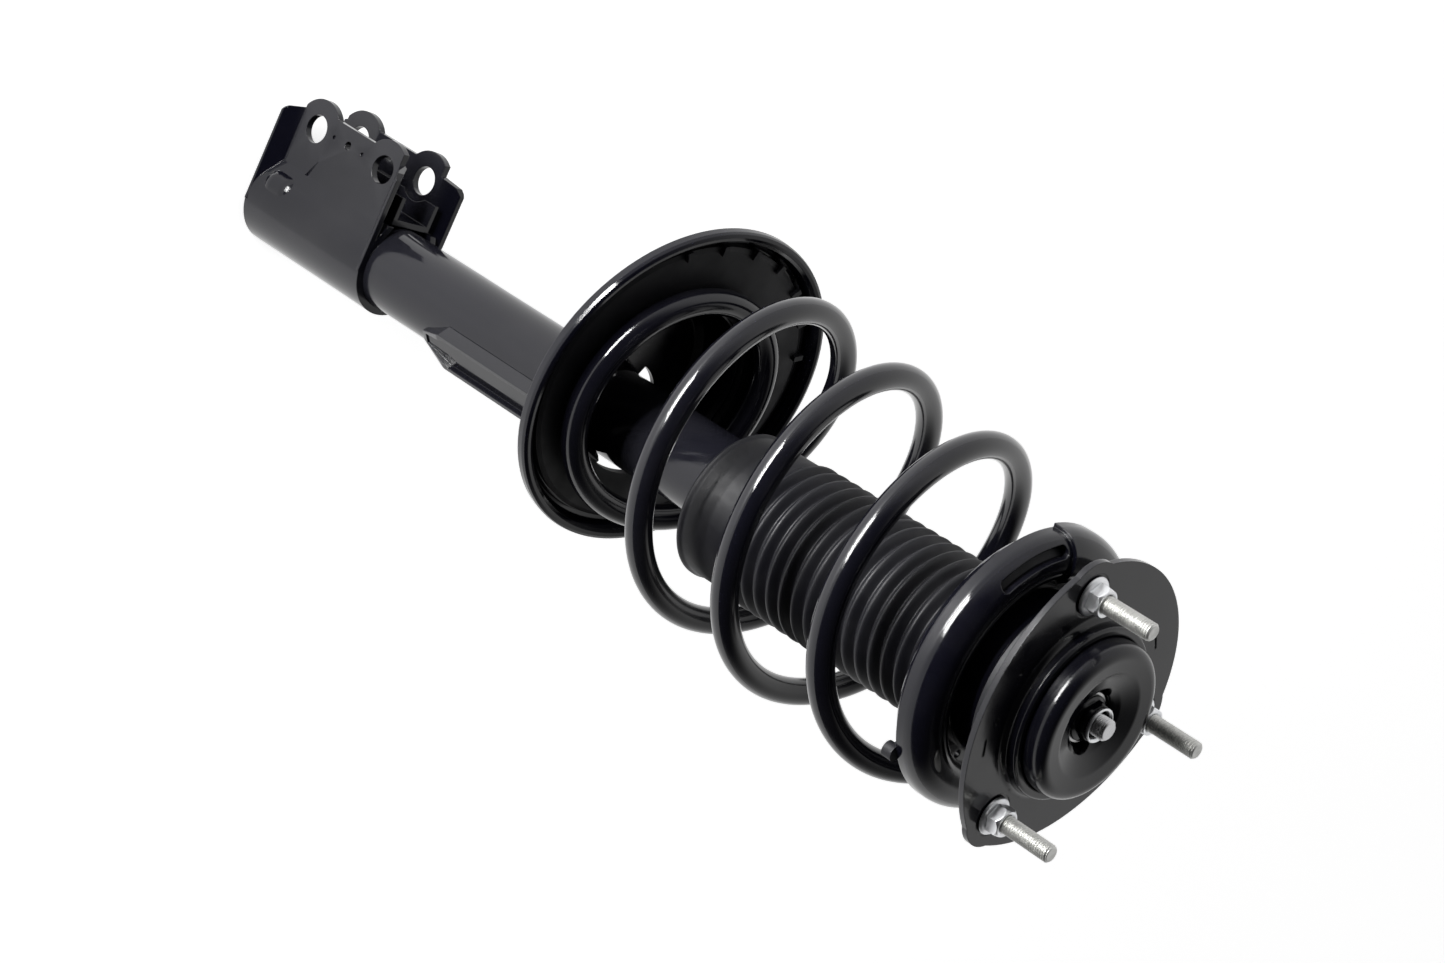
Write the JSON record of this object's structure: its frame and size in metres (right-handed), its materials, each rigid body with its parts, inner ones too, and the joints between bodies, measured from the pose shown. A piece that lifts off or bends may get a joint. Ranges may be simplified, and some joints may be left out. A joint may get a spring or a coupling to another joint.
{
  "type": "suspension strut assembly",
  "caption": "Front suspension strut: coil spring round a sliding damper tube, studded top mount with bearing, dust boot, tilted lower seat and two-bolt knuckle bracket.",
  "frame": {"origin": "centre of the top mount plate's upper seating face, on the damper axis", "axes": "+Z along the damper axis towards the vehicle body (the way the studs point), +Y from the damper axis towards the knuckle bolts, +X along the knuckle bolts"},
  "size_m": [0.2018, 0.2166, 0.699],
  "materials": {
    "gloss_black_paint": "gloss",
    "satin_black_paint": "satin",
    "spring_coating": "gloss",
    "bright_zinc": "bright",
    "dull_zinc": "dull",
    "hard_chrome": "polished",
    "bright_steel": "bright",
    "sintered_iron": "matte",
    "black_rubber": "matte",
    "boot_rubber": "satin",
    "foam": "matte",
    "bronze": "dull",
    "low_friction_band": "matte",
    "black_plastic": "matte",
    "natural_nylon": "matte"
  },
  "bodies": {
    "top_mount": {"mount_plate": "satin_black_paint", "mount_cap": "satin_black_paint", "mount_rubber": "black_rubber", "mount_inner_sleeve": "bright_steel", "rod_washer": "bright_steel", "rod_nut": "bright_zinc", "mount_studs": "dull_zinc", "stud_nuts": "bright_zinc", "piston_rod": "hard_chrome", "piston": "sintered_iron", "piston_band": "low_friction_band", "rebound_shims": "bright_steel", "compression_shims": "bright_steel", "shim_stop_plate": "bright_steel", "piston_nut": "bright_steel", "rebound_stop": "bright_steel", "rebound_cushion": "black_rubber", "bump_stop": "foam", "bump_stop_cup": "satin_black_paint", "bearing_upper_housing": "black_plastic", "bearing_upper_race": "bright_steel"},
    "bearing_cage": {"bearing_cage": "natural_nylon", "bearing_balls": "bright_steel"},
    "upper_seat": {"bearing_lower_race": "bright_steel", "upper_spring_seat": "gloss_black_paint", "upper_insulator": "black_rubber", "coil_spring": "spring_coating", "dust_boot": "boot_rubber"},
    "strut_tube": {"reserve_tube": "gloss_black_paint", "base_cap": "gloss_black_paint", "pressure_tube": "bright_steel", "foot_valve_body": "sintered_iron", "foot_valve_discs": "bright_steel", "foot_valve_pin": "bright_steel", "rod_guide": "sintered_iron", "guide_bush": "bronze", "oil_seal": "black_rubber", "closing_ring": "bright_steel", "striker_cap": "bright_steel", "lower_spring_seat": "gloss_black_paint", "lower_insulator": "black_rubber", "seat_support": "gloss_black_paint", "knuckle_bracket": "gloss_black_paint", "bracket_brace": "gloss_black_paint"}
  },
  "joints": [
    {"name": "steering_turn", "type": "hinge", "parent": "top_mount", "child": "upper_seat", "pos_m": [0, 0, 0], "axis": [0, 0, 1], "range_deg": [-40, 40]},
    {"name": "cage_turn", "type": "hinge", "parent": "top_mount", "child": "bearing_cage", "pos_m": [0, 0, -0.013], "axis": [0, 0, 1], "range_deg": [-20, 20]},
    {"name": "damper_stroke", "type": "slide", "parent": "upper_seat", "child": "strut_tube", "axis": [0, 0, 1], "range_m": [0, 0.11], "stiffness_N_per_m": 28000, "deforming": ["coil_spring", "dust_boot"]}
  ],
  "couplings": [
    {"joint": "cage_turn", "follows": "steering_turn", "ratio": 0.5}
  ]
}
